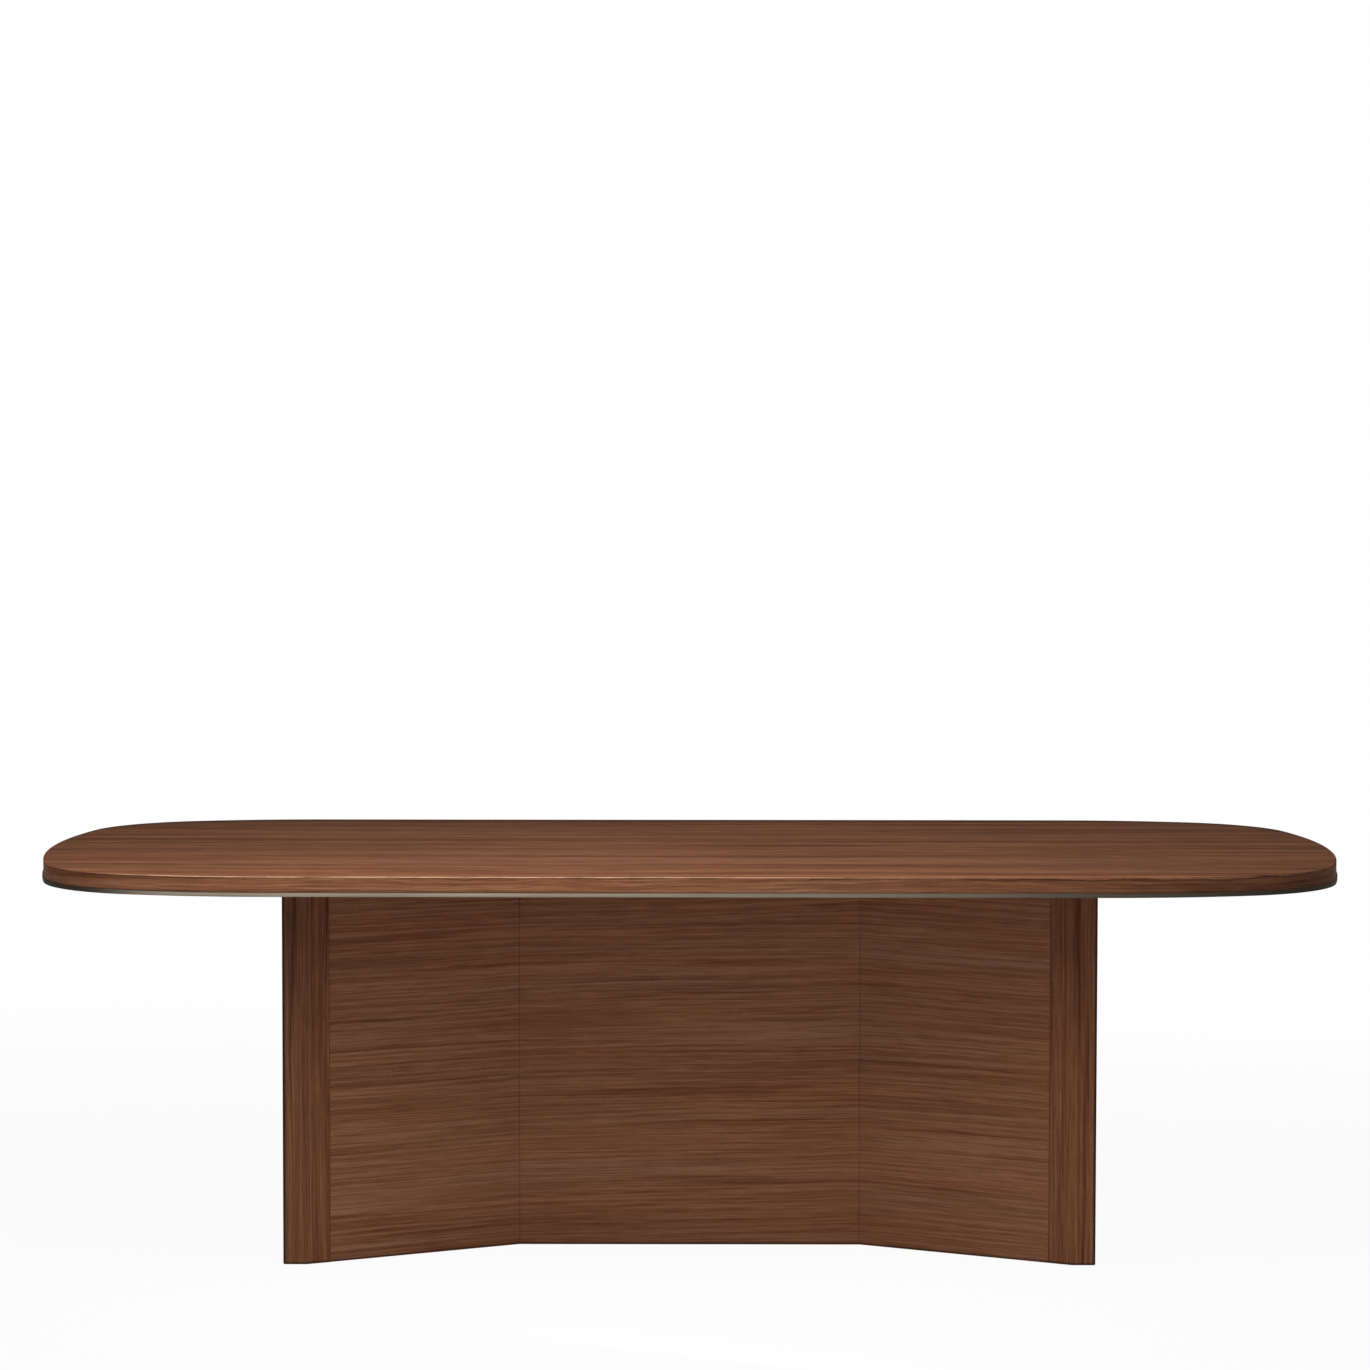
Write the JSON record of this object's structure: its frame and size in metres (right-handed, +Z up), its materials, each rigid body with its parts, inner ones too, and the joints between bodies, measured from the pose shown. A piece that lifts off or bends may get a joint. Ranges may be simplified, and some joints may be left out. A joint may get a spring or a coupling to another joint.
{
  "type": "dining table",
  "caption": "Long soft-cornered wooden dining table top with a thin metal strip under its edge, on a waisted pedestal of flat panels and corner posts.",
  "frame": {"origin": "middle of the footprint, on the floor under the foot pads", "axes": "+X along the length, -Y the front, +Z up"},
  "size_m": [2.444, 1.122, 0.755],
  "materials": {
    "walnut_face": "satin lacquer",
    "walnut_under": "plain sealed veneer",
    "walnut_edge": "satin lacquer",
    "walnut_panel": "satin lacquer",
    "walnut_post": "satin lacquer",
    "metal_strip": "brushed",
    "board_core": "raw board",
    "plywood": "raw plywood",
    "steel": "zinc plated",
    "pad_plastic": "moulded"
  },
  "bodies": {
    "table": {"face_sheet": "walnut_face", "top_core": "board_core", "balance_sheet": "walnut_under", "edge_front": "walnut_edge", "edge_back": "walnut_edge", "edge_left": "walnut_edge", "edge_right": "walnut_edge", "edge_tongues": "plywood", "strip_front": "metal_strip", "strip_back": "metal_strip", "strip_left": "metal_strip", "strip_right": "metal_strip", "strip_screws": "steel", "channel_front": "steel", "channel_back": "steel", "channel_screws": "steel", "top_inserts": "steel", "centre_panel_front": "walnut_panel", "centre_panel_back": "walnut_panel", "wing_panel_front_left": "walnut_panel", "wing_panel_front_right": "walnut_panel", "wing_panel_back_left": "walnut_panel", "wing_panel_back_right": "walnut_panel", "post_front_left": "walnut_post", "post_front_right": "walnut_post", "post_back_left": "walnut_post", "post_back_right": "walnut_post", "end_panel_left": "walnut_panel", "end_panel_right": "walnut_panel", "seam_splines": "plywood", "post_splines": "plywood", "end_splines": "plywood", "deck_plate": "plywood", "bottom_plate": "plywood", "inner_rib_left": "plywood", "inner_rib_right": "plywood", "outer_rib_left": "plywood", "outer_rib_right": "plywood", "rib_screws": "steel", "foot_blocks": "plywood", "foot_nuts": "steel", "top_bolts": "steel", "bolt_washers": "steel"},
    "pad_front_left": {"foot_pad_front_left": "pad_plastic"},
    "stem_front_left": {"foot_stem_front_left": "steel"},
    "pad_front_right": {"foot_pad_front_right": "pad_plastic"},
    "stem_front_right": {"foot_stem_front_right": "steel"},
    "pad_back_left": {"foot_pad_back_left": "pad_plastic"},
    "stem_back_left": {"foot_stem_back_left": "steel"},
    "pad_back_right": {"foot_pad_back_right": "pad_plastic"},
    "stem_back_right": {"foot_stem_back_right": "steel"}
  },
  "joints": [
    {"name": "foot_slide_front_left", "type": "slide", "parent": "table", "child": "pad_front_left", "axis": [0, 0, -1], "range_m": [0, 0.012]},
    {"name": "foot_turn_front_left", "type": "hinge", "parent": "pad_front_left", "child": "stem_front_left", "pos_m": [-0.706, -0.206, 0.007], "axis": [0, 0, -1], "range_deg": [0, 3456]},
    {"name": "foot_slide_front_right", "type": "slide", "parent": "table", "child": "pad_front_right", "axis": [0, 0, -1], "range_m": [0, 0.012]},
    {"name": "foot_turn_front_right", "type": "hinge", "parent": "pad_front_right", "child": "stem_front_right", "pos_m": [0.706, -0.206, 0.007], "axis": [0, 0, -1], "range_deg": [0, 3456]},
    {"name": "foot_slide_back_left", "type": "slide", "parent": "table", "child": "pad_back_left", "axis": [0, 0, -1], "range_m": [0, 0.012]},
    {"name": "foot_turn_back_left", "type": "hinge", "parent": "pad_back_left", "child": "stem_back_left", "pos_m": [-0.706, 0.206, 0.007], "axis": [0, 0, -1], "range_deg": [0, 3456]},
    {"name": "foot_slide_back_right", "type": "slide", "parent": "table", "child": "pad_back_right", "axis": [0, 0, -1], "range_m": [0, 0.012]},
    {"name": "foot_turn_back_right", "type": "hinge", "parent": "pad_back_right", "child": "stem_back_right", "pos_m": [0.706, 0.206, 0.007], "axis": [0, 0, -1], "range_deg": [0, 3456]}
  ],
  "couplings": [
    {"joint": "foot_turn_front_left", "follows": "foot_slide_front_left", "rad_per_m": 5026.5},
    {"joint": "foot_turn_front_right", "follows": "foot_slide_front_right", "rad_per_m": 5026.5},
    {"joint": "foot_turn_back_left", "follows": "foot_slide_back_left", "rad_per_m": 5026.5},
    {"joint": "foot_turn_back_right", "follows": "foot_slide_back_right", "rad_per_m": 5026.5}
  ]
}
